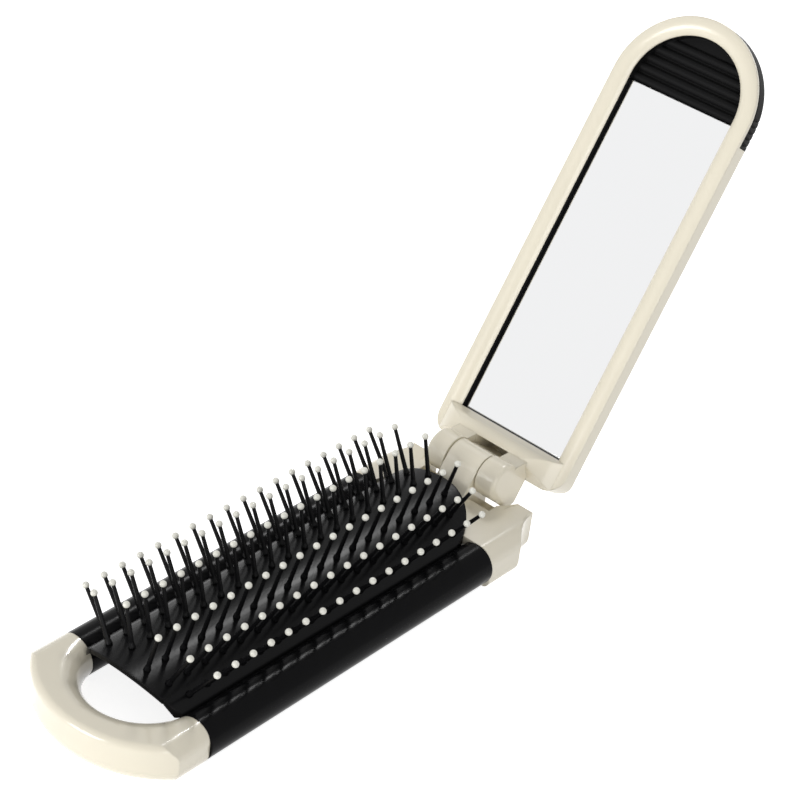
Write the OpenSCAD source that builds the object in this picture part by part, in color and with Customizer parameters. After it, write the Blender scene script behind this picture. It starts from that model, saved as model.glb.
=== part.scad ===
// Folding hairbrush with a mirror: a brush half with six rows of pins, and a mirror half that
// turns on a three-knuckle hinge. All lengths are in millimetres.
// The hinge axis lies along Y. The brush half runs along -X from it and lies on the plane z = 0.

/* [Hinge] */
// Height of the hinge axis above the underside
axis_h = 11.2; // [10.6:0.1:13]
// Angle of the mirror half above its straight-out position, as drawn
raise_deg = 57.2; // [20:0.1:120]
// Outer radius of the knuckles
knuckle_r = 3.5; // [3:0.1:3.8]
// Width of the middle knuckle
middle_w = 6.9; // [5:0.1:8]
// Width of each outer knuckle
outer_w = 4.15; // [3:0.05:5]
// Gap between neighbouring knuckles
knuckle_gap = 0.3; // [0.2:0.05:0.5]
// Diameter of the hinge pin
pin_d = 2.0; // [1.5:0.1:2.6]
// Radial running clearance of the pin in the outer knuckles
pin_clearance = 0.05; // [0.02:0.01:0.1]
// Diameter of the plug that closes the pin's hole
plug_d = 3.2; // [2.9:0.1:4]

/* [Brush half] */
// Distance from the hinge axis to the seam between the rails and the bow
bow_seam = 82.3; // [80:0.1:90]
// Distance from the hinge axis to the seam between the rails and the hinge block
block_seam = 13.5; // [12:0.1:15]
// Radius of the side rails
rail_r = 3.85; // [3.4:0.05:4.2]
// Distance between the axes of the two rails
rail_span = 26.8; // [26:0.1:29]
// Diameter of the spigots on the rail ends
spigot_d = 4.6; // [3:0.1:5]
// Length of the spigots on the rail ends
spigot_l = 4.0; // [2:0.1:5]
// Length of the bow from its seam to its outermost point
bow_len = 14.9; // [13.5:0.1:17]
// Radius of the bow's end wall
bow_end_r = 21.2; // [18:0.1:26]
// Radius of the centre line of the loop's rounded inner edge
loop_r = 13.6; // [13:0.1:14.5]
// Half width of the bow and of the block at their straight sides
side_half_w = 16.8; // [16.5:0.1:18]
// Rounding of the bow's and the block's upper long edges
shoulder_r = 3.0; // [1:0.1:3.5]
// Rounding of the bow's lower edges
foot_r = 2.8; // [1:0.1:3]
// Rounding of the block's lower edges
block_foot_r = 1.4; // [0.5:0.1:2.5]
// Rounding of the bow's upper end edge
bow_edge_r = 1.2; // [0.5:0.1:2]

/* [Bristle bed] */
// Width of the bristle bed
bed_w = 22.0; // [20:0.1:23]
// Height of the bed's crown above the hinge axis
bed_crown = 0.2; // [-1:0.1:0.6]
// Height of the bed's long edges below the hinge axis
bed_edge_drop = 4.67; // [4:0.05:5]
// Thickness of the bed
bed_t = 0.9; // [0.6:0.05:1.2]
// Radius of the bed's shoulders
bed_shoulder_r = 6.0; // [4.5:0.1:7]
// Slope angle of the bed's flanks at its long edges
bed_flank_deg = 66; // [55:1:80]
// How far the bed's front edge reaches past the seam of the bow
bed_overhang = 3.3; // [2:0.1:4]
// Radius of the bed's front edge seen from above
bed_front_r = 28; // [20:1:60]
// Corner radius of the bed's front edge seen from above
bed_corner_r = 3.0; // [1.5:0.1:4]
// Distance from the hinge axis to the bed's rounded end
bed_end = 7.2; // [6:0.1:8]
// Height of the bed's feet that stand in the rails' rabbets
bed_foot = 0.65; // [0.3:0.05:1]

/* [Pins] */
// Distance between neighbouring pins of a row
pin_pitch = 4.0; // [3.5:0.1:4.2]
// Diameter of a pin at its foot
pin_foot_d = 0.85; // [0.7:0.05:1.1]
// Diameter of a pin under its ball tip
pin_top_d = 0.66; // [0.5:0.02:0.8]
// Diameter of the ball tips
tip_d = 1.2; // [1.1:0.05:1.3]
// Diameter of the collar at a pin's foot
collar_d = 1.25; // [1.1:0.05:1.4]
// Height of the collar at a pin's foot
collar_h = 0.9; // [0.5:0.1:1.2]

/* [Mirror half] */
// Distance from the hinge axis to the frame's lower edge
frame_foot = 1.6; // [1.4:0.1:2]
// Half width of the frame
frame_half_w = 14.8; // [14.3:0.1:16]
// Distance from the hinge axis to the centre of the frame's round end
frame_round = 74.6; // [70:0.1:80]
// Half width of the window in the frame
window_half_w = 11.35; // [11.2:0.05:11.6]
// Distance from the hinge axis to the lower edge of the window
window_foot = 7.65; // [7:0.05:8]
// Distance from the hinge axis to the upper edge of the glass
glass_top = 73.9; // [70:0.1:74.2]
// Depth of the glass face behind the hinge axis
glass_depth = 8.55; // [8.5:0.01:8.7]
// Height of the bezel's crest above the glass face
bezel_h = 2.28; // [1.8:0.02:2.4]
// Height of the black rim that shows between the glass and the bezel
rim_h = 1.05; // [0.6:0.05:1.3]
// Depth of the frame's back behind the hinge axis
frame_back = 11.2; // [11.1:0.1:12]
// Corner radius at the frame's lower end
frame_corner_r = 4.0; // [2:0.1:5]
// Wall thickness of the frame
frame_wall = 1.7; // [1.2:0.1:1.8]
// Rounding of the mirror half's outer back edges
back_edge_r = 1.5; // [0.5:0.1:1.6]
// Rounding of the outer knuckles' ends
knuckle_edge_r = 0.8; // [0.3:0.1:1.2]
// Thickness of the mirror glass
glass_t = 0.9; // [0.6:0.05:1]
// Thickness of the glue pad
pad_t = 0.2; // [0.15:0.05:0.3]
// Thickness of the tray's floor
tray_t = 0.4; // [0.3:0.05:0.5]
// Thickness of the back cover
cover_t = 0.55; // [0.4:0.05:0.6]

/* [Thumb slide] */
// Distance from the hinge axis to the seam between the frame and the slide
slide_seam = 71.0; // [70:0.1:73]
// Travel of the slide
slide_travel = 1.2; // [0.6:0.1:1.3]
// Number of cross ribs on the slide
rib_count = 5; // [3:1:6]
// Distance between neighbouring cross ribs
rib_pitch = 2.0; // [1.6:0.1:2.2]
// Height of the cross ribs
rib_h = 0.8; // [0.4:0.1:1]
// Number of side serrations
tooth_count = 5; // [3:1:6]
// Distance between neighbouring side serrations
tooth_pitch = 1.2; // [1:0.05:1.4]
// Thickness of the brake bar
bar_t = 0.4; // [0.3:0.05:0.45]
// Width of the brake bar
bar_w = 5.0; // [3:0.1:5.5]

/* [Hidden] */
$fn = 64;
fit_gap = 0.05;
run_gap = 0.2;
knuckle_clearance = 0.35;
through = 60;
// Brush half: heights above the underside
rail_z = rail_r;
rail_y = rail_span / 2;
deck_z = 2 * rail_r;
socket_d = spigot_d + 2 * fit_gap;
socket_l = spigot_l + 0.4;
loop_back = 1.9;
loop_x = -bow_seam + loop_back;
bow_reach = bow_seam + bow_len;
bow_x = -bow_reach + bow_end_r;
bed_front = bow_seam + bed_overhang;
// Bed: a three-centred arch, heights counted from its long edges
bed_half_w = bed_w / 2;
bed_edge_z = axis_h - bed_edge_drop;
bed_foot_z = bed_edge_z - bed_foot;
bed_rise = bed_crown + bed_edge_drop;
arch_y = bed_half_w - bed_shoulder_r * sin(bed_flank_deg);
arch_z = -bed_shoulder_r * cos(bed_flank_deg);
arch_drop = arch_z - bed_rise;
crown_num = arch_y * arch_y + arch_drop * arch_drop - bed_shoulder_r * bed_shoulder_r;
crown_r = crown_num / (2 * (bed_rise - arch_z - bed_shoulder_r));
crown_z = bed_rise - crown_r;
join_y = crown_r * arch_y / (crown_r - bed_shoulder_r);
bed_near_r = bed_half_w;
bed_far_r = 6;
bed_far_y = bed_half_w - bed_far_r;
bed_near_x = -bed_end - bed_near_r;
bed_far_x = -bed_end - bed_far_r;
bed_corner_x = -bed_front + bed_corner_r + 1.3;
bed_corner_y = bed_half_w - bed_corner_r;
foot_start = -bow_seam + 0.1;
// Rows of pins: first pin behind the bed's front edge, last pin at least this far from the
// hinge axis, tip out of the middle, tip over the hinge axis, foot out of the middle, and side
row_1 = [5.8, 11.3, 14.7, 4.85, 9.3, 1];
row_2 = [3.54, 9.5, 10.5, 6.95, 6.5, 1];
row_3 = [4.83, 8.6, 4.57, 7.52, 2.7, 1];
row_4 = [2.88, 8.6, 4.57, 7.52, 2.7, -1];
row_5 = [4.0, 12.0, 10.5, 6.45, 6.5, -1];
row_6 = [5.8, 14.5, 14.7, 4.85, 9.3, -1];
root_l = bed_t + 0.5;
root_head_d = 1.15;
root_head_h = 0.35;
root_gap = 0.03;
tip_bore_depth = 0.3;
collar_lift = 0.12;
// Block
block_end = 1.0;
block_sweep_r = 8.0;
block_sweep_x = 0.8;
block_sweep_y = 21.9;
block_heel_r = 0.9;
ear_heel_r = 2.7;
sweep_foot_r = 2.0;
ear_ridge_x = -2.2;
ear_rise = 0.55;
ear_start = 9.6;
ear_in = 10.9;
ear_out = 13.9;
ear_facet_tilt = 43;
ear_facet_turn = 57.5;
slot_wall_x = -4.3;
arm_back_a = 2.8;
arm_back_n = -5.9;
arm_bulge_a = 4.0;
arm_bulge_n = -1.8;
arm_swing_r = norm([arm_back_a, arm_back_n]);
slot_floor_z = axis_h - arm_swing_r - run_gap;
middle_half = middle_w / 2;
arm_in = middle_half + knuckle_gap;
arm_out = arm_in + outer_w;
slot_out = arm_out + knuckle_gap;
outer_r = knuckle_r + 0.15;
crease_deg = -15;
crease_r = outer_r - 0.06;
web_r = knuckle_r - 0.06;
pin_right = -arm_out + 1.0;
plug_l = 1.2;
pin_left = arm_out - plug_l - 0.1;
// Mirror half: along the half, across it, and height n over the hinge axis
glass_n = -glass_depth;
crest_n = glass_n + bezel_h;
rim_n = glass_n + rim_h;
back_n = -frame_back;
glass_back_n = glass_n - glass_t;
pad_back_n = glass_back_n - pad_t;
tray_back_n = pad_back_n - tray_t;
bar_top_n = tray_back_n - 0.1;
bar_back_n = bar_top_n - bar_t;
cover_n = back_n + cover_t;
cavity_half_w = frame_half_w - frame_wall;
tray_half_w = cavity_half_w - fit_gap;
slide_in_half_w = tray_half_w + run_gap;
bezel_y = window_half_w + 1.95;
bezel_arc_r = 2.4;
ridge_a = 5.0;
ridge_r = 2.2;
ridge_n = -5.6;
ridge_slope_deg = 145;
ridge_bite = 0.03;
ridge_line_r = ridge_r - ridge_bite;
ridge_slope_a = ridge_a + ridge_line_r * cos(ridge_slope_deg);
ridge_slope_n = ridge_n + ridge_line_r * sin(ridge_slope_deg);
roof_n = ridge_n + ridge_r;
roof_flat = 6.5;
roof_shoulder_r = 9.0;
lip_n = crest_n - 0.3;
foot_front_n = ridge_slope_n - (ridge_slope_a - frame_foot) * tan(ridge_slope_deg - 90);
slide_top_n = rim_n - run_gap;
rib_n = glass_n - 0.05;
rib_r = 0.42 * rib_pitch;
slide_face_n = rib_n - rib_h;
slide_in = glass_top + 0.15;
ring_in = window_half_w + 0.05;
shoe_r = knuckle_r + knuckle_clearance;
shoe_a = 2.2;
shoe_t = 1.1;
shoe_n = -2.6;
notch_half_w = middle_half + 0.1;
notch_end = shoe_a + shoe_t + slide_travel + 0.3;
shoe_half_w = notch_half_w - 0.25;
foot_wall_end = notch_end + 0.7;
bar_room = 0.1;
peg_d = 1.6;
peg_a = slide_seam + 1.6;
bar_end = slide_in - 0.2;
black = [0.06, 0.06, 0.065];
cream = [0.95, 0.92, 0.84];
steel = [0.7, 0.7, 0.72];
silver = [0.85, 0.87, 0.88];
grey = [0.4, 0.4, 0.4];

// Shapes shared by several pieces

// places a shape drawn as [along, across, n] on the raised mirror half
module on_mirror() {
  translate([0, 0, axis_h])
    rotate([0, -raise_deg, 0])
      children();
}

// turns a section drawn as [y, z] into a bar along X
module bar_x(x0, x1) {
  translate([x0, 0, 0])
    rotate([90, 0, 90])
      linear_extrude(height = x1 - x0)
        children();
}

// turns a section drawn as [x, z] into a bar along Y
module bar_y(y0, y1) {
  translate([0, y1, 0])
    rotate([90, 0, 0])
      linear_extrude(height = y1 - y0)
        children();
}

// rounded section of the bow's and the block's straight sides, as [y, z]
module side_section(lower_r) {
  flat = side_half_w - shoulder_r;
  low = side_half_w - lower_r;
  translate([-flat, lower_r])
    square([2 * flat, deck_z - lower_r]);
  translate([-side_half_w, lower_r])
    square([2 * side_half_w, deck_z - shoulder_r - lower_r]);
  translate([-low, 0])
    square([2 * low, deck_z - shoulder_r]);
  for (s = [-1, 1]) {
    translate([s * flat, deck_z - shoulder_r])
      circle(r = shoulder_r);
    translate([s * low, lower_r])
      circle(r = lower_r);
  }
}

// plan of the bed, drawn smaller by the inset
module bed_plan(inset) {
  w = bed_half_w - inset;
  intersection() {
    translate([-bed_front + bed_front_r, 0])
      circle(r = bed_front_r - inset, $fn = 128);
    translate([-bed_front, -bed_corner_y])
      square([bed_front + bed_near_x, 2 * bed_corner_y]);
  }
  for (s = [-1, 1])
    translate([bed_corner_x, s * bed_corner_y])
      circle(r = bed_corner_r - inset);
  translate([bed_corner_x, -w])
    square([bed_near_x - bed_corner_x, 2 * w]);
  intersection() {
    translate([bed_near_x, 0])
      circle(r = bed_near_r - inset, $fn = 128);
    translate([bed_near_x - 0.1, -bed_half_w])
      square([bed_near_r + 1, bed_half_w + 0.1]);
  }
  translate([bed_near_x - 0.1, 0])
    square([bed_far_x - bed_near_x + 0.1, w]);
  translate([bed_far_x - 0.1, 0])
    square([bed_far_r - inset + 0.1, bed_far_y]);
  translate([bed_far_x, bed_far_y])
    circle(r = bed_far_r - inset);
}

// upper part of the bed's section, as [y, height over the long edges]
module arch_section(inset) {
  reach = 3 * arch_y;
  intersection() {
    union() {
      for (s = [-1, 1])
        translate([s * arch_y, arch_z])
          circle(r = bed_shoulder_r - inset);
      intersection() {
        translate([0, crown_z])
          circle(r = crown_r - inset, $fn = 128);
        polygon([[0, crown_z], [reach, crown_z + 3 * (arch_z - crown_z)],
          [-reach, crown_z + 3 * (arch_z - crown_z)]]);
      }
    }
    translate([-bed_half_w, 0])
      square([bed_w, bed_rise + 1]);
  }
}

// height of the bed's outer face over its long edges, at a distance y out of the middle
function arch_h(y) =
  y < join_y ? crown_z + sqrt(crown_r * crown_r - y * y)
  : arch_z + sqrt(bed_shoulder_r * bed_shoulder_r - (y - arch_y) * (y - arch_y));

function row_count(row) = floor((bed_front - row[0] - row[1]) / pin_pitch) + 1;
function row_foot(row) = [0, row[5] * row[4], bed_edge_z + arch_h(row[4])];
function row_tip(row) = [0, row[5] * row[2], axis_h + row[3]];
function row_lean(row) =
  -atan2(row_tip(row)[1] - row_foot(row)[1], row_tip(row)[2] - row_foot(row)[2]);
function pin_length(row) = norm(row_tip(row) - row_foot(row));

// puts a shape that is drawn upward from a pin's foot at every pin of a row
module pin_place(row) {
  for (i = [0 : row_count(row) - 1])
    translate([-bed_front + row[0] + i * pin_pitch, 0, 0])
      translate(row_foot(row))
        rotate([row_lean(row), 0, 0])
          children();
}

module pins_row(row) {
  pin_place(row) {
    translate([0, 0, -root_l])
      cylinder(d = pin_foot_d - 0.1, h = root_l + 0.1, $fn = 24);
    translate([0, 0, -root_l])
      cylinder(d = root_head_d, h = root_head_h, $fn = 24);
    cylinder(d1 = pin_foot_d, d2 = pin_top_d, h = pin_length(row) - tip_d / 2 + tip_bore_depth,
      $fn = 24);
    translate([0, 0, collar_lift])
      cylinder(d1 = collar_d, d2 = pin_foot_d - 0.02, h = collar_h, $fn = 24);
  }
}

module tips_row(row) {
  pin_place(row)
    translate([0, 0, pin_length(row)])
      difference() {
        sphere(d = tip_d, $fn = 24);
        translate([0, 0, -tip_d])
          cylinder(d = pin_top_d + 0.04, h = tip_d / 2 + tip_bore_depth + 0.05, $fn = 24);
      }
}

// Brush half

module end_bow() {
  color(cream)
    difference() {
      intersection() {
        union() {
          translate([loop_x, 0, rail_z])
            rotate_extrude($fn = 128)
              translate([loop_r, 0])
                circle(r = rail_r);
          translate([loop_x, 0, 0])
            difference() {
              cylinder(r = 2 * bow_end_r, h = deck_z, $fn = 128);
              translate([0, 0, -1])
                cylinder(r = loop_r, h = deck_z + 2, $fn = 128);
            }
        }
        translate([bow_x, 0, 0])
          rotate_extrude($fn = 128)
            bow_section();
        bar_x(-2 * bow_reach, -bow_seam)
          side_section(foot_r);
      }
      for (s = [-1, 1])
        translate([-bow_seam, s * rail_y, rail_z])
          rotate([0, -90, 0])
            cylinder(d = socket_d, h = socket_l);
      translate([0, 0, bed_edge_z - fit_gap])
        linear_extrude(height = axis_h)
          bed_plan(-fit_gap);
    }
}

// radial section of the bow's end wall
module bow_section() {
  translate([0, foot_r])
    square([bow_end_r - bow_edge_r, deck_z - foot_r]);
  translate([0, foot_r])
    square([bow_end_r, deck_z - bow_edge_r - foot_r]);
  square([bow_end_r - foot_r, deck_z - bow_edge_r]);
  translate([bow_end_r - bow_edge_r, deck_z - bow_edge_r])
    circle(r = bow_edge_r);
  translate([bow_end_r - foot_r, foot_r])
    circle(r = foot_r);
}

module rail(s) {
  color(black)
    difference() {
      translate([0, s * rail_y, rail_z])
        rotate([0, 90, 0]) {
          translate([0, 0, -bow_seam + fit_gap])
            cylinder(r = rail_r, h = bow_seam - block_seam - 2 * fit_gap);
          translate([0, 0, -bow_seam - spigot_l])
            cylinder(d = spigot_d, h = bow_seam - block_seam + 2 * spigot_l);
        }
      translate([-bow_seam, s > 0 ? 0 : -bed_half_w - fit_gap, bed_foot_z - fit_gap])
        cube([bow_seam - block_seam, bed_half_w + fit_gap, axis_h]);
    }
}

module left_rail() {
  rail(1);
}

module right_rail() {
  rail(-1);
}

module bristle_bed() {
  inner_w = arch_y + sqrt(pow(bed_shoulder_r - bed_t, 2) - arch_z * arch_z);
  color(black)
    difference() {
      intersection() {
        translate([0, 0, bed_foot_z])
          linear_extrude(height = axis_h)
            bed_plan(0);
        bar_x(-bed_front, 0)
          union() {
            translate([0, bed_edge_z])
              arch_section(0);
            translate([-bed_half_w, bed_foot_z])
              square([bed_w, bed_foot + 0.01]);
          }
      }
      intersection() {
        translate([0, 0, bed_foot_z - 1])
          linear_extrude(height = axis_h)
            union() {
              bed_plan(bed_t);
              translate([-bed_front - 1, -bed_half_w])
                square([bed_front - bow_seam + 2 * bed_corner_r, bed_w]);
            }
        bar_x(-bed_front - 1, 0)
          union() {
            translate([0, bed_edge_z])
              arch_section(bed_t);
            translate([-inner_w, bed_foot_z - 1])
              square([2 * inner_w, bed_foot + 1.01]);
          }
      }
      translate([-bed_front - 1, -bed_half_w - 1, bed_foot_z - 1])
        cube([foot_start + bed_front + 1, bed_w + 2, bed_foot + 1]);
      for (row = [row_1, row_2, row_3, row_4, row_5, row_6])
        pin_place(row)
          translate([0, 0, -2 * bed_t])
            cylinder(d = pin_foot_d - 0.1 + 2 * root_gap, h = 3 * bed_t, $fn = 24);
    }
}

module pins_row_1() {
  color(black)
    pins_row(row_1);
}

module pins_row_2() {
  color(black)
    pins_row(row_2);
}

module pins_row_3() {
  color(black)
    pins_row(row_3);
}

module pins_row_4() {
  color(black)
    pins_row(row_4);
}

module pins_row_5() {
  color(black)
    pins_row(row_5);
}

module pins_row_6() {
  color(black)
    pins_row(row_6);
}

module tips_row_1() {
  color(cream)
    tips_row(row_1);
}

module tips_row_2() {
  color(cream)
    tips_row(row_2);
}

module tips_row_3() {
  color(cream)
    tips_row(row_3);
}

module tips_row_4() {
  color(cream)
    tips_row(row_4);
}

module tips_row_5() {
  color(cream)
    tips_row(row_5);
}

module tips_row_6() {
  color(cream)
    tips_row(row_6);
}

// section of the block along its length, as [x, z]
module block_profile(heel_r) {
  translate([-block_seam, heel_r])
    square([block_seam + block_end, deck_z - heel_r]);
  translate([-block_seam, 0])
    square([block_seam + block_end - heel_r, deck_z]);
  translate([block_end - heel_r, heel_r])
    circle(r = heel_r);
}

// radial section of the hollow at the block's corners, flared at its foot
module sweep_section() {
  translate([0, -1])
    square([block_sweep_r, deck_z + 2]);
  difference() {
    translate([0, -1])
      square([block_sweep_r + sweep_foot_r, sweep_foot_r + 1]);
    translate([block_sweep_r + sweep_foot_r, sweep_foot_r])
      circle(r = sweep_foot_r);
  }
}

module hinge_block() {
  color(cream)
    difference() {
      union() {
        difference() {
          intersection() {
            bar_x(-block_seam, block_end)
              side_section(block_foot_r);
            union() {
              bar_y(-slot_out, slot_out)
                block_profile(block_heel_r);
              bar_y(-side_half_w, side_half_w)
                block_profile(ear_heel_r);
            }
          }
          for (s = [-1, 1])
            translate([block_sweep_x, s * block_sweep_y, 0])
              rotate_extrude($fn = 96)
                sweep_section();
          for (s = [-1, 1])
            translate([slot_wall_x, s > 0 ? middle_half : -slot_out, slot_floor_z])
              cube([through, slot_out - middle_half, through]);
          translate([0, 0, bed_foot_z - fit_gap])
            linear_extrude(height = axis_h)
              bed_plan(-fit_gap);
        }
        // raised ears behind the cross ridges
        intersection() {
          bar_y(-ear_out, ear_out)
            polygon([[ear_ridge_x - 0.1, slot_floor_z], [ear_ridge_x - 0.1, deck_z - 0.02],
              [block_end - 0.4, deck_z + ear_rise], [block_end, deck_z + ear_rise - 0.3],
              [block_end, slot_floor_z]]);
          bar_x(ear_ridge_x - 0.1, block_end)
            for (s = [-1, 1])
              polygon([[s * ear_start, slot_floor_z], [s * ear_start, deck_z - 0.05],
                [s * ear_in, deck_z + ear_rise], [s * (ear_out - 0.3), deck_z + ear_rise],
                [s * ear_out, deck_z + ear_rise - 0.4], [s * ear_out, slot_floor_z]]);
        }
        // middle knuckle and its web
        bar_y(-middle_half, middle_half)
          union() {
            translate([0, axis_h])
              circle(r = knuckle_r);
            polygon([[-bed_end + 0.25, slot_floor_z], [-bed_end + 0.25, deck_z - 0.4],
              [-web_r * cos(28), axis_h + web_r * sin(28)], [0, axis_h],
              [web_r * cos(50), axis_h - web_r * sin(50)],
              [block_end, deck_z - 0.2], [block_end, slot_floor_z]]);
          }
      }
      // slanting facets beside the slots
      for (s = [0, 1])
        mirror([0, s, 0])
          intersection() {
            translate([ear_ridge_x, slot_out, deck_z])
              rotate([0, ear_facet_tilt, -ear_facet_turn])
                translate([-through / 2, -through / 2, 0])
                  cube([through, through, through]);
            translate([-through / 2, slot_out, 0])
              cube([through, side_half_w, through]);
          }
      translate([0, 0, axis_h])
        rotate([90, 0, 0])
          cylinder(d = pin_d + 0.02, h = through, center = true);
      for (s = [-1, 1])
        translate([-block_seam, s * rail_y, rail_z])
          rotate([0, 90, 0])
            cylinder(d = socket_d, h = socket_l);
    }
}

module hinge_pin() {
  color(steel)
    translate([0, pin_right, axis_h])
      rotate([-90, 0, 0])
        cylinder(d = pin_d, h = pin_left - pin_right);
}

module pin_plug() {
  color(cream)
    on_mirror()
      translate([0, arm_out - plug_l, 0])
        rotate([-90, 0, 0])
          cylinder(d = plug_d, h = plug_l);
}

// Mirror half, drawn as [along, across, n]

// plan of the mirror half, drawn smaller by the inset
module half_plan(inset) {
  w = frame_half_w - inset;
  foot = frame_foot + inset;
  c = max(frame_corner_r - inset, 0.5);
  translate([foot + c, -w])
    square([frame_round - foot - c, 2 * w]);
  translate([foot, -w + c])
    square([c + 0.1, 2 * (w - c)]);
  for (s = [-1, 1])
    translate([foot + c, s * (w - c)])
      circle(r = c);
  translate([frame_round, 0])
    circle(r = w, $fn = 128);
}

// outer envelope of the mirror half, with its rounded back edges
module half_envelope() {
  w = frame_half_w;
  intersection() {
    union() {
      bar_x(frame_foot, frame_round) {
        translate([-w, back_n + back_edge_r])
          square([2 * w, through]);
        translate([-w + back_edge_r, back_n])
          square([2 * (w - back_edge_r), through]);
        for (s = [-1, 1])
          translate([s * (w - back_edge_r), back_n + back_edge_r])
            circle(r = back_edge_r);
      }
      translate([frame_round, 0, 0])
        rotate_extrude($fn = 128) {
          translate([0, back_n + back_edge_r])
            square([w, through]);
          translate([0, back_n])
            square([w - back_edge_r, through]);
          translate([w - back_edge_r, back_n + back_edge_r])
            circle(r = back_edge_r);
        }
    }
    bar_y(-w, w) {
      translate([frame_foot, back_n + back_edge_r])
        square([2 * through, through]);
      translate([frame_foot + back_edge_r, back_n])
        square([2 * through, through]);
      translate([frame_foot + back_edge_r, back_n + back_edge_r])
        circle(r = back_edge_r);
    }
    translate([0, 0, back_n - 1])
      linear_extrude(height = 2 * through)
        half_plan(0);
  }
}

// plan of the window, drawn larger by the gap
module window_plan(gap) {
  w = window_half_w + gap;
  translate([window_foot - gap, -w])
    square([frame_round - window_foot + gap, 2 * w]);
  translate([frame_round, 0])
    circle(r = w, $fn = 128);
}

// rounded section of the bezel, as [distance out of the middle, n]
module bezel_section() {
  intersection() {
    translate([bezel_y, crest_n - bezel_arc_r])
      circle(r = bezel_arc_r);
    translate([window_half_w, rim_n])
      square([frame_half_w - window_half_w, bezel_h]);
  }
  translate([window_half_w, rim_n])
    square([frame_half_w - window_half_w, 0.2]);
}

// section of the band between the window and the hinge, as [along, n]
module band_section() {
  reach = norm([window_foot - ridge_a, lip_n - ridge_n]);
  turn = atan2(lip_n - ridge_n, window_foot - ridge_a) + acos(ridge_line_r / reach);
  translate([ridge_a, ridge_n])
    circle(r = ridge_r);
  polygon([[frame_foot, rim_n], [frame_foot, foot_front_n],
    [ridge_slope_a, ridge_slope_n], [ridge_a, ridge_n],
    [ridge_a + ridge_line_r * cos(turn), ridge_n + ridge_line_r * sin(turn)],
    [window_foot, lip_n], [window_foot, rim_n]]);
}

// radial section of an outer knuckle, with its rounded end, as [radius, width]
module knuckle_section() {
  square([outer_r, outer_w - knuckle_edge_r]);
  square([outer_r - knuckle_edge_r, outer_w]);
  translate([outer_r - knuckle_edge_r, outer_w - knuckle_edge_r])
    circle(r = knuckle_edge_r);
}

module mirror_frame() {
  color(cream)
    on_mirror()
      difference() {
        union() {
          intersection() {
            union() {
              // bezel along the straight sides and round the end
              for (s = [0, 1])
                mirror([0, s, 0])
                  bar_x(frame_foot, frame_round)
                    bezel_section();
              translate([frame_round, 0, 0])
                rotate([0, 0, -90])
                  rotate_extrude(angle = 180, $fn = 128)
                    bezel_section();
              // walls and lower band
              translate([0, 0, back_n])
                linear_extrude(height = rim_n - back_n + 0.1)
                  difference() {
                    half_plan(0);
                    translate([foot_wall_end, -cavity_half_w])
                      square([through * 2, 2 * cavity_half_w]);
                    translate([slide_seam, -through])
                      square(2 * through);
                  }
              intersection() {
                bar_y(-frame_half_w, frame_half_w)
                  band_section();
                bar_x(0, 2 * window_foot) {
                  translate([-roof_flat, back_n])
                    square([2 * roof_flat, roof_n - back_n]);
                  for (s = [-1, 1])
                    translate([s * roof_flat, roof_n - roof_shoulder_r])
                      circle(r = roof_shoulder_r, $fn = 128);
                }
              }
            }
            half_envelope();
          }
          // outer knuckles, and the arms that carry them
          for (s = [0, 1])
            mirror([0, s, 0]) {
              translate([0, arm_in, 0])
                rotate([-90, 0, 0])
                  rotate_extrude()
                    knuckle_section();
              bar_y(arm_in, arm_out)
                polygon([[-outer_r, 0], [-arm_bulge_a, arm_bulge_n], [-outer_r, arm_back_n + 0.9],
                  [-arm_back_a, arm_back_n], [frame_foot + 1, arm_back_n],
                  [frame_foot + 1, rim_n], [ridge_a, rim_n],
                  [ridge_a, ridge_n + 0.9 * ridge_r],
                  [crease_r * cos(crease_deg), crease_r * sin(crease_deg)], [0, 0]]);
            }
        }
        // bore for the pin, and the seat of the plug
        translate([0, pin_right - 0.1, 0])
          rotate([-90, 0, 0])
            cylinder(d = pin_d + 2 * pin_clearance, h = through);
        translate([0, arm_out - plug_l - 0.05, 0])
          rotate([-90, 0, 0])
            cylinder(d = plug_d + 0.04, h = through);
        // notch for the brake shoe, and the brake bar's channel
        translate([0, -notch_half_w, bar_back_n - bar_room])
          cube([notch_end, 2 * notch_half_w, through]);
        translate([0, -bar_w / 2 - 2 * bar_room, bar_back_n - bar_room])
          cube([foot_wall_end + 1, bar_w + 4 * bar_room, bar_t + 2 * bar_room]);
        translate([0, 0, rim_n])
          linear_extrude(height = through)
            window_plan(0);
      }
}

module mirror_tray() {
  color(black)
    on_mirror()
      difference() {
        translate([foot_wall_end + fit_gap, -tray_half_w, tray_back_n])
          cube([glass_top - foot_wall_end - fit_gap, 2 * tray_half_w,
            rim_n - fit_gap - tray_back_n]);
        translate([0, 0, pad_back_n])
          linear_extrude(height = through)
            window_plan(0);
      }
}

module mirror_glass() {
  color(silver)
    on_mirror()
      translate([window_foot + fit_gap, -window_half_w + fit_gap, glass_back_n])
        cube([glass_top - window_foot - fit_gap, 2 * (window_half_w - fit_gap), glass_t]);
}

module glue_pad() {
  color(grey)
    on_mirror()
      translate([window_foot + 1.5, -window_half_w + 1.5, pad_back_n])
        cube([glass_top - window_foot - 3, 2 * (window_half_w - 1.5), pad_t]);
}

module back_cover() {
  color(cream)
    on_mirror()
      translate([foot_wall_end + fit_gap, -tray_half_w, back_n])
        cube([slide_seam - foot_wall_end - 2 * fit_gap, 2 * tray_half_w, cover_t]);
}

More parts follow.
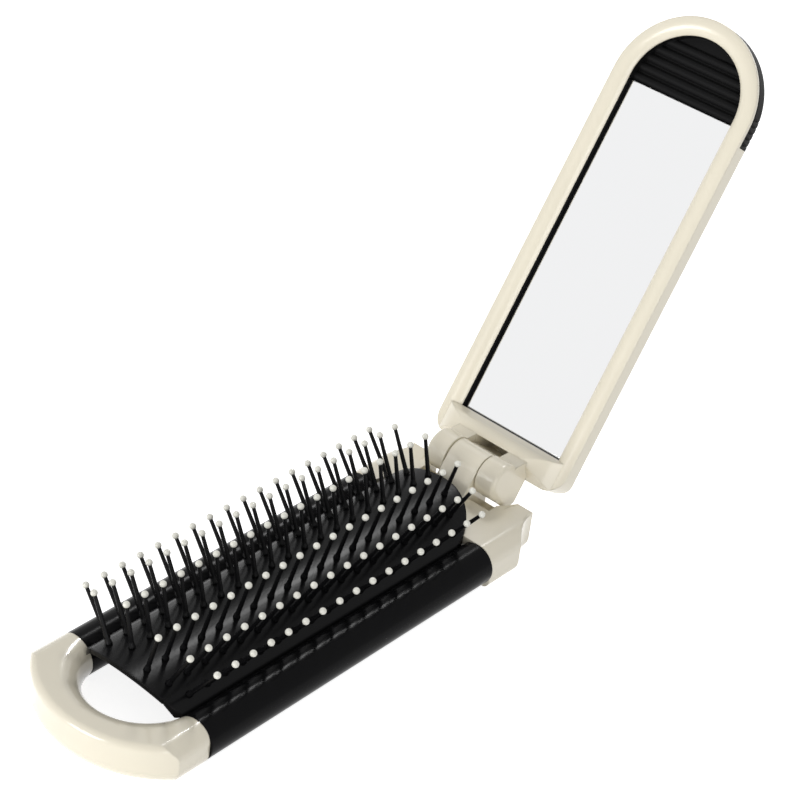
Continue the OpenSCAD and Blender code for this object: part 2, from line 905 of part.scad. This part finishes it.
module end_slide() {
  color(black)
    on_mirror()
      difference() {
        union() {
          difference() {
            intersection() {
              half_envelope();
              translate([slide_seam + fit_gap, -through, back_n - 1])
                cube([through, 2 * through, slide_top_n - back_n + 1]);
            }
            // room for the tray and the glass
            translate([0, -slide_in_half_w, bar_top_n])
              cube([slide_in, 2 * slide_in_half_w, through]);
            // hollow inside the window's arch
            translate([0, 0, slide_face_n])
              linear_extrude(height = through)
                intersection() {
                  window_plan(0.05);
                  translate([slide_in - 1, -through])
                    square(2 * through);
                }
          }
          intersection() {
            for (i = [0 : rib_count - 1])
              rib(slide_in + rib_r + rib_pitch * i);
            translate([0, 0, back_n])
              linear_extrude(height = through)
                window_plan(0.1);
          }
        }
        // groove of the brake bar, with its peg left standing
        difference() {
          translate([0, -bar_w / 2 - fit_gap, bar_back_n - fit_gap])
            cube([bar_end + fit_gap, bar_w + 2 * fit_gap, through / 30]);
          translate([peg_a, 0, back_n])
            cylinder(d = peg_d, h = bar_top_n - back_n);
        }
        for (s = [-1, 1])
          for (i = [0 : tooth_count - 1])
            tooth_cut(s, slide_seam + 0.9 + i * tooth_pitch);
      }
}

// one rounded cross rib of the slide, from wall to wall
module rib(a) {
  bar_y(-window_half_w, window_half_w)
    intersection() {
      translate([a, rib_n - rib_r])
        circle(r = rib_r);
      translate([a - rib_r, slide_face_n - 0.1])
        square([2 * rib_r, rib_h + 0.1]);
    }
}

// one groove between the side serrations
module tooth_cut(s, a) {
  turn = a > frame_round ? (a - frame_round) / frame_half_w * 180 / PI : 0;
  base = min(a, frame_round);
  translate([base, 0, 0])
    rotate([0, 0, -s * turn])
      translate([0, s * (frame_half_w + 0.1), 0])
        rotate([0, 0, 45])
          cube([0.8, 0.8, through], center = true);
}

module brake_bar() {
  color(cream)
    on_mirror()
      difference() {
        union() {
          translate([shoe_a, -bar_w / 2, bar_back_n])
            cube([bar_end - shoe_a, bar_w, bar_t]);
          translate([shoe_a, -shoe_half_w, bar_back_n])
            cube([shoe_t, 2 * shoe_half_w, shoe_n - bar_back_n]);
        }
        rotate([90, 0, 0])
          cylinder(r = shoe_r, h = through, center = true);
        translate([peg_a, 0, -through / 2])
          cylinder(d = peg_d + 0.1, h = through);
      }
}

end_bow();
left_rail();
right_rail();
bristle_bed();
pins_row_1();
pins_row_2();
pins_row_3();
pins_row_4();
pins_row_5();
pins_row_6();
tips_row_1();
tips_row_2();
tips_row_3();
tips_row_4();
tips_row_5();
tips_row_6();
hinge_block();
hinge_pin();
pin_plug();
mirror_frame();
mirror_tray();
mirror_glass();
glue_pad();
back_cover();
end_slide();
brake_bar();
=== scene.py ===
import math
from typing import NamedTuple

import bpy
from bpy.props import FloatProperty, FloatVectorProperty, PointerProperty
from bpy.types import Operator, Panel, PropertyGroup
from mathutils import Matrix, Vector

bl_info = {
    "name": "Folding Hairbrush with Mirror",
    "version": (1, 0, 0),
    "blender": (4, 5, 0),
    "location": "View3D > Sidebar > Hairbrush",
    "description": "Finishes for a folding pocket hairbrush and its mirror",
    "category": "Object",
}

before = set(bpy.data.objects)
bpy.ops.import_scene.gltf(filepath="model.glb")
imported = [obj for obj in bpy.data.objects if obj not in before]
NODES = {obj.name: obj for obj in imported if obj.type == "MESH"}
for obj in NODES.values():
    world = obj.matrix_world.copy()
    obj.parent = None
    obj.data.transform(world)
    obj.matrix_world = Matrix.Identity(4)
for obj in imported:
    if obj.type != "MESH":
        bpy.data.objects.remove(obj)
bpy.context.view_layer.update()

# The frame's pieces, grouped by the plastic they are moulded from
GLOSS_NODES = ("end_bow", "hinge_block", "pin_plug", "brake_bar")
FRAME_NODES = ("mirror_frame", "back_cover")
RAIL_NODES = ("left_rail", "right_rail")
ROW_COUNT = 6
PIN_NODES = tuple(f"pins_row_{row}" for row in range(1, ROW_COUNT + 1))
TIP_NODES = tuple(f"tips_row_{row}" for row in range(1, ROW_COUNT + 1))

# Surfaces
SHARP_ANGLE = math.radians(28.0)
COAT_ROUGHNESS = 0.04
GRAIN_HEIGHT = 0.00003
GRAIN_DETAIL = 3.0
PATCHES_PER_METRE = 90.0
PATCH_DETAIL = 4.0
BEVEL_SAMPLES = 4
FOAM_GREY = (0.1, 0.1, 0.1)
STEEL_GREY = (0.55, 0.55, 0.57)

# Stage
SENSOR_WIDTH_MM = 36.0
CLIP_NEAR = 0.01
CLIP_FAR = 50.0
FLOOR_SIZE = 6.0
FLOOR_DROP = 0.00002
FLOOR_TONE = (0.92, 0.92, 0.92, 1.0)
WHITE = (1.0, 1.0, 1.0, 1.0)
LAMP_AIM = Vector((-0.03, 0.0, 0.03))


# ---------------------------------------------------------------- sizes and colours


def colour(name, description, default):
    """A colour property with its default."""
    return FloatVectorProperty(
        name=name, description=description, subtype="COLOR", size=3,
        min=0.0, max=1.0, default=default,
    )


class BrushFinish(PropertyGroup):
    cream: colour("Cream", "Colour of the cream mouldings", (0.87, 0.81, 0.66))
    black: colour("Black", "Colour of the black mouldings", (0.005, 0.005, 0.0055))
    grip: colour("Grip", "Colour of the ribbed thumb slide", (0.009, 0.009, 0.0093))
    tips: colour("Tips", "Colour of the ball tips", (0.86, 0.85, 0.77))
    silver: colour("Mirror", "Tint of the mirror's silver", (0.875, 0.878, 0.885))
    cream_roughness: FloatProperty(
        name="Cream Roughness", description="Roughness of the cream mouldings",
        subtype="FACTOR", min=0.02, max=1.0, default=0.22,
    )
    black_roughness: FloatProperty(
        name="Black Roughness", description="Roughness of the black mouldings",
        subtype="FACTOR", min=0.02, max=1.0, default=0.24,
    )
    edge_radius: FloatProperty(
        name="Edge Radius", description="Small rounding that every moulded edge shows",
        unit="LENGTH", min=0.0, max=0.001, default=0.0004,
    )
    grain_size: FloatProperty(
        name="Grain Size", description="Size of the mould's fine grain",
        unit="LENGTH", min=0.0001, max=0.005, default=0.0006,
    )


class BrushStage(PropertyGroup):
    camera_place: FloatVectorProperty(
        name="Camera Place", description="Place of the camera", subtype="TRANSLATION",
        unit="LENGTH", size=3, default=(-0.30835, -0.21448, 0.27037),
    )
    camera_aim: FloatVectorProperty(
        name="Camera Aim", description="Direction in which the camera looks",
        subtype="DIRECTION", size=3, default=(0.66681, 0.50215, -0.55065),
    )
    camera_roll: FloatProperty(
        name="Camera Roll", description="Turn of the camera about its line of sight",
        unit="ROTATION", default=math.radians(7.7),
    )
    camera_lens: FloatProperty(
        name="Lens", description="Focal length on a sensor 36 mm wide, in mm",
        min=50.0, max=200.0, default=115.3,
    )
    key_power: FloatProperty(
        name="Key Power", description="Power of the wide lamp in front of the bow",
        unit="POWER", min=0.0, default=33.0,
    )
    fill_power: FloatProperty(
        name="Fill Power", description="Power of the wide lamp beside the near rail",
        unit="POWER", min=0.0, default=12.5,
    )
    edge_power: FloatProperty(
        name="Edge Power", description="Power of the small lamp that draws the edges",
        unit="POWER", min=0.0, default=3.0,
    )
    floor_glow: FloatProperty(
        name="Floor Glow", description="Brightness that lifts the pale floor to white",
        subtype="FACTOR", min=0.0, max=1.0, default=0.85,
    )
    world_light: FloatProperty(
        name="World Light", description="Brightness of the light from all round",
        min=0.0, max=2.0, default=0.39,
    )


def finish_props():
    """The sizes and colours of the finishes."""
    return bpy.context.scene.brush_finish


def stage_props():
    """The camera's place and the lamps' powers."""
    return bpy.context.scene.brush_stage


class Look(NamedTuple):
    """What sets one moulding's surface apart from the others."""

    tone: tuple
    roughness: float
    specular: float = 0.5
    coat: float = 0.0
    metallic: float = 0.0
    grain_depth: float = 0.1
    gloss_change: float = 0.05
    tone_change: float = 0.06


class Lamp(NamedTuple):
    """A square lamp: its place and the length of its side, in metres."""

    name: str
    place: tuple
    size: float


LAMPS = (
    Lamp("key", (-2.25, 0.58, 0.43), 1.15),
    Lamp("fill", (-1.20, -2.00, 0.51), 1.2),
    Lamp("edge", (0.69, 0.38, 0.91), 0.17),
)


# ---------------------------------------------------------------- node helpers


def new_group(name, inputs, outputs):
    """An empty shader node group with its sockets, or None where it already exists."""
    if name in bpy.data.node_groups:
        return None
    group = bpy.data.node_groups.new(name, "ShaderNodeTree")
    for label, kind, default in inputs:
        socket = group.interface.new_socket(label, in_out="INPUT", socket_type=kind)
        socket.default_value = default
    for label, kind in outputs:
        group.interface.new_socket(label, in_out="OUTPUT", socket_type=kind)
    return group


def math_node(tree, operation, *values):
    """A Math node: each value is a number or the socket that feeds it."""
    node = tree.nodes.new("ShaderNodeMath")
    node.operation = operation
    for slot, value in enumerate(values):
        if isinstance(value, float):
            node.inputs[slot].default_value = value
        else:
            tree.links.new(value, node.inputs[slot])
    return node.outputs[0]


def seen_rays(tree):
    """A factor of 1 for the rays that see the floor or the backdrop, also in gloss or glass."""
    rays = tree.nodes.new("ShaderNodeLightPath").outputs
    direct = math_node(tree, "MAXIMUM", rays["Is Camera Ray"], rays["Is Transmission Ray"])
    return math_node(tree, "MAXIMUM", direct, rays["Is Glossy Ray"])


def noise(tree, place, detail):
    """A noise texture over the piece's own coordinates, with its scale still to set."""
    node = tree.nodes.new("ShaderNodeTexNoise")
    node.inputs["Detail"].default_value = detail
    tree.links.new(place, node.inputs["Vector"])
    return node


def moulded_skin():
    """Fine mould grain, rounded edges, and slight patches of gloss and tone."""
    name = "Moulded Skin"
    group = new_group(
        name,
        [
            ("Colour", "NodeSocketColor", (0.8, 0.8, 0.8, 1.0)),
            ("Roughness", "NodeSocketFloat", 0.3),
            ("Grain Size", "NodeSocketFloat", 0.0006),
            ("Grain Depth", "NodeSocketFloat", 0.1),
            ("Gloss Change", "NodeSocketFloat", 0.05),
            ("Tone Change", "NodeSocketFloat", 0.06),
            ("Edge Radius", "NodeSocketFloat", 0.0004),
        ],
        [
            ("Colour", "NodeSocketColor"),
            ("Roughness", "NodeSocketFloat"),
            ("Normal", "NodeSocketVector"),
        ],
    )
    if group is None:
        return bpy.data.node_groups[name]
    nodes, links = group.nodes, group.links
    given = nodes.new("NodeGroupInput").outputs
    result = nodes.new("NodeGroupOutput").inputs
    place = nodes.new("ShaderNodeTexCoord").outputs["Object"]

    grain = noise(group, place, GRAIN_DETAIL)
    links.new(math_node(group, "DIVIDE", 1.0, given["Grain Size"]), grain.inputs["Scale"])
    edge = nodes.new("ShaderNodeBevel")
    edge.samples = BEVEL_SAMPLES
    links.new(given["Edge Radius"], edge.inputs["Radius"])
    bump = nodes.new("ShaderNodeBump")
    bump.inputs["Distance"].default_value = GRAIN_HEIGHT
    links.new(given["Grain Depth"], bump.inputs["Strength"])
    links.new(grain.outputs["Fac"], bump.inputs["Height"])
    links.new(edge.outputs["Normal"], bump.inputs["Normal"])
    links.new(bump.outputs["Normal"], result["Normal"])

    patches = noise(group, place, PATCH_DETAIL)
    patches.inputs["Scale"].default_value = PATCHES_PER_METRE
    patch = math_node(group, "SUBTRACT", patches.outputs["Fac"], 0.5)
    gloss = math_node(group, "MULTIPLY_ADD", patch, given["Gloss Change"], given["Roughness"])
    links.new(gloss, result["Roughness"])
    tint = nodes.new("ShaderNodeHueSaturation")
    shade = math_node(group, "MULTIPLY_ADD", patch, given["Tone Change"], 1.0)
    links.new(shade, tint.inputs["Value"])
    links.new(given["Colour"], tint.inputs["Color"])
    links.new(tint.outputs["Color"], result["Colour"])
    return group


def skinned_material(name, look):
    """A material whose one Principled shader is fed by the shared skin group."""
    finish = finish_props()
    material = bpy.data.materials.new(name)
    material.use_nodes = True
    tree = material.node_tree
    shader = tree.nodes["Principled BSDF"]
    shader.inputs["Metallic"].default_value = look.metallic
    shader.inputs["Specular IOR Level"].default_value = look.specular
    shader.inputs["Coat Weight"].default_value = look.coat
    shader.inputs["Coat Roughness"].default_value = COAT_ROUGHNESS
    skin = tree.nodes.new("ShaderNodeGroup")
    skin.node_tree = moulded_skin()
    skin.inputs["Colour"].default_value = (*look.tone, 1.0)
    skin.inputs["Roughness"].default_value = look.roughness
    skin.inputs["Grain Size"].default_value = finish.grain_size
    skin.inputs["Grain Depth"].default_value = look.grain_depth
    skin.inputs["Gloss Change"].default_value = look.gloss_change
    skin.inputs["Tone Change"].default_value = look.tone_change
    skin.inputs["Edge Radius"].default_value = finish.edge_radius
    tree.links.new(skin.outputs["Colour"], shader.inputs["Base Color"])
    tree.links.new(skin.outputs["Roughness"], shader.inputs["Roughness"])
    tree.links.new(skin.outputs["Normal"], shader.inputs["Normal"])
    return material


def dress(names, title, look):
    """Gives the named pieces one material, in a slot on each piece's mesh."""
    material = skinned_material(title, look)
    for name in names:
        node = NODES[name]
        node.data.materials.clear()
        node.data.materials.append(material)


# ---------------------------------------------------------------- the operators


class BRUSH_OT_smooth(Operator):
    """Shades every piece smoothly between its sharp edges"""

    bl_idname = "brush.smooth"
    bl_label = "Smooth Shading"

    def execute(self, context):
        for node in NODES.values():
            mesh = node.data
            mesh.polygons.foreach_set("use_smooth", [True] * len(mesh.polygons))
            mesh.set_sharp_from_angle(angle=SHARP_ANGLE)
        return {"FINISHED"}


class BRUSH_OT_cream_mouldings(Operator):
    """Finishes the bow, the hinge block, the mirror's frame and its cover"""

    bl_idname = "brush.cream_mouldings"
    bl_label = "Cream Mouldings"

    def execute(self, context):
        finish = finish_props()
        for names, title, coat in (
            (GLOSS_NODES, "Cream Gloss Plastic", 0.5),
            (FRAME_NODES, "Cream Frame Plastic", 0.12),
        ):
            look = Look(tone=finish.cream, roughness=finish.cream_roughness, coat=coat)
            dress(names, title, look)
        return {"FINISHED"}


class BRUSH_OT_black_mouldings(Operator):
    """Finishes the rails, the bristle bed, the mirror's tray and the thumb slide"""

    bl_idname = "brush.black_mouldings"
    bl_label = "Black Mouldings"

    def execute(self, context):
        finish = finish_props()
        for names, title, tone, blur, specular in (
            (RAIL_NODES, "Black Rail Plastic", finish.black, 0.8, 0.05),
            (("bristle_bed",), "Black Bed Plastic", finish.black, 1.0, 0.09),
            (("mirror_tray",), "Black Tray Plastic", finish.black, 1.0, 0.01),
            (("end_slide",), "Black Grip Plastic", finish.grip, 1.8, 0.045),
        ):
            look = Look(
                tone=tone, roughness=blur * finish.black_roughness, specular=specular,
                grain_depth=0.25, gloss_change=0.10,
            )
            dress(names, title, look)
        return {"FINISHED"}


class BRUSH_OT_pins(Operator):
    """Finishes the six rows of pins and their ball tips"""

    bl_idname = "brush.pins"
    bl_label = "Pins and Tips"

    def execute(self, context):
        finish = finish_props()
        nylon = Look(
            tone=finish.black, roughness=finish.black_roughness, specular=0.12,
            grain_depth=0.05, gloss_change=0.10,
        )
        dress(PIN_NODES, "Black Nylon", nylon)
        lacquer = Look(tone=finish.tips, roughness=0.22, coat=0.2, grain_depth=0.05)
        dress(TIP_NODES, "Cream Tip Lacquer", lacquer)
        return {"FINISHED"}


class BRUSH_OT_mirror(Operator):
    """Finishes the mirror glass and the pad behind it"""

    bl_idname = "brush.mirror"
    bl_label = "Mirror"

    def execute(self, context):
        finish = finish_props()
        silver = Look(
            tone=finish.silver, roughness=0.02, metallic=1.0,
            grain_depth=0.0, gloss_change=0.02, tone_change=0.004,
        )
        dress(("mirror_glass",), "Silvered Glass", silver)
        foam = Look(tone=FOAM_GREY, roughness=0.9, specular=0.4, grain_depth=0.8)
        dress(("glue_pad",), "Grey Foam", foam)
        return {"FINISHED"}


class BRUSH_OT_hinge_pin(Operator):
    """Finishes the steel hinge pin"""

    bl_idname = "brush.hinge_pin"
    bl_label = "Hinge Pin"

    def execute(self, context):
        steel = Look(
            tone=STEEL_GREY, roughness=0.28, metallic=1.0,
            grain_depth=0.2, gloss_change=0.15,
        )
        dress(("hinge_pin",), "Ground Steel", steel)
        return {"FINISHED"}


class BRUSH_OT_stage(Operator):
    """Sets up the floor, the soft lamps, the world and the camera"""

    bl_idname = "brush.stage"
    bl_label = "Stage"

    def execute(self, context):
        scene, stage = context.scene, stage_props()
        self.camera(scene, stage)
        self.floor(context, stage)
        self.lamps(scene, stage)
        self.world(scene, stage)
        scene.view_settings.view_transform = "Standard"
        return {"FINISHED"}

    def camera(self, scene, stage):
        """The camera, turned along its aim and then rolled."""
        data = bpy.data.cameras.new("Camera")
        data.sensor_width = SENSOR_WIDTH_MM
        data.lens = stage.camera_lens
        data.clip_start = CLIP_NEAR
        data.clip_end = CLIP_FAR
        camera = bpy.data.objects.new("Camera", data)
        scene.collection.objects.link(camera)
        turn = Vector(stage.camera_aim).to_track_quat("-Z", "Y").to_matrix().to_4x4()
        roll = Matrix.Rotation(stage.camera_roll, 4, "Z")
        camera.matrix_world = Matrix.Translation(stage.camera_place) @ turn @ roll
        scene.camera = camera

    def floor(self, context, stage):
        """A pale floor that keeps the shadow and is lifted to white where it is seen."""
        bpy.ops.mesh.primitive_plane_add(size=FLOOR_SIZE, location=(0.0, 0.0, -FLOOR_DROP))
        floor = context.object
        floor.name = "floor"
        material = bpy.data.materials.new("Pale Floor")
        material.use_nodes = True
        tree = material.node_tree
        tree.nodes.clear()
        out = tree.nodes.new("ShaderNodeOutputMaterial")
        paper = tree.nodes.new("ShaderNodeBsdfDiffuse")
        paper.inputs["Color"].default_value = FLOOR_TONE
        glow = tree.nodes.new("ShaderNodeEmission")
        glow.inputs["Strength"].default_value = stage.floor_glow
        dark = tree.nodes.new("ShaderNodeEmission")
        dark.inputs["Strength"].default_value = 0.0
        mix = tree.nodes.new("ShaderNodeMixShader")
        tree.links.new(seen_rays(tree), mix.inputs["Fac"])
        tree.links.new(dark.outputs[0], mix.inputs[1])
        tree.links.new(glow.outputs[0], mix.inputs[2])
        add = tree.nodes.new("ShaderNodeAddShader")
        tree.links.new(paper.outputs[0], add.inputs[0])
        tree.links.new(mix.outputs[0], add.inputs[1])
        tree.links.new(add.outputs[0], out.inputs["Surface"])
        floor.data.materials.append(material)

    def lamps(self, scene, stage):
        """The square lamps, each aimed at the middle of the brush."""
        powers = {
            "key": stage.key_power, "fill": stage.fill_power, "edge": stage.edge_power,
        }
        for name, place, size in LAMPS:
            data = bpy.data.lights.new(name, "AREA")
            data.size = size
            data.energy = powers[name]
            lamp = bpy.data.objects.new(name, data)
            lamp.location = place
            aim = (LAMP_AIM - Vector(place)).to_track_quat("-Z", "Y")
            lamp.rotation_euler = aim.to_euler()
            scene.collection.objects.link(lamp)

    def world(self, scene, stage):
        """Even light from all round, and plain white where the world itself is seen."""
        world = bpy.data.worlds.new("Studio")
        scene.world = world
        world.use_nodes = True
        tree = world.node_tree
        tree.nodes.clear()
        out = tree.nodes.new("ShaderNodeOutputWorld")
        light = tree.nodes.new("ShaderNodeBackground")
        light.inputs["Color"].default_value = WHITE
        light.inputs["Strength"].default_value = stage.world_light
        shown = tree.nodes.new("ShaderNodeBackground")
        shown.inputs["Color"].default_value = WHITE
        mix = tree.nodes.new("ShaderNodeMixShader")
        tree.links.new(seen_rays(tree), mix.inputs["Fac"])
        tree.links.new(light.outputs[0], mix.inputs[1])
        tree.links.new(shown.outputs[0], mix.inputs[2])
        tree.links.new(mix.outputs[0], out.inputs["Surface"])


# ---------------------------------------------------------------- panel and registration

OPERATORS = (
    BRUSH_OT_smooth,
    BRUSH_OT_cream_mouldings,
    BRUSH_OT_black_mouldings,
    BRUSH_OT_pins,
    BRUSH_OT_mirror,
    BRUSH_OT_hinge_pin,
    BRUSH_OT_stage,
)


class BRUSH_PT_panel(Panel):
    """Lists the steps and the sizes in the sidebar"""

    bl_idname = "BRUSH_PT_panel"
    bl_label = "Folding Hairbrush"
    bl_space_type = "VIEW_3D"
    bl_region_type = "UI"
    bl_category = "Hairbrush"

    def draw(self, context):
        layout = self.layout
        for group in (finish_props(), stage_props()):
            for name in group.__annotations__:
                layout.prop(group, name)
        for operator in OPERATORS:
            layout.operator(operator.bl_idname)


CLASSES = (BrushFinish, BrushStage, *OPERATORS, BRUSH_PT_panel)


def register():
    for cls in CLASSES:
        bpy.utils.register_class(cls)
    bpy.types.Scene.brush_finish = PointerProperty(type=BrushFinish)
    bpy.types.Scene.brush_stage = PointerProperty(type=BrushStage)


def unregister():
    del bpy.types.Scene.brush_stage
    del bpy.types.Scene.brush_finish
    for cls in reversed(CLASSES):
        bpy.utils.unregister_class(cls)


def main():
    register()
    for operator in OPERATORS:
        group, name = operator.bl_idname.split(".")
        getattr(getattr(bpy.ops, group), name)()


if __name__ == "__main__":
    main()
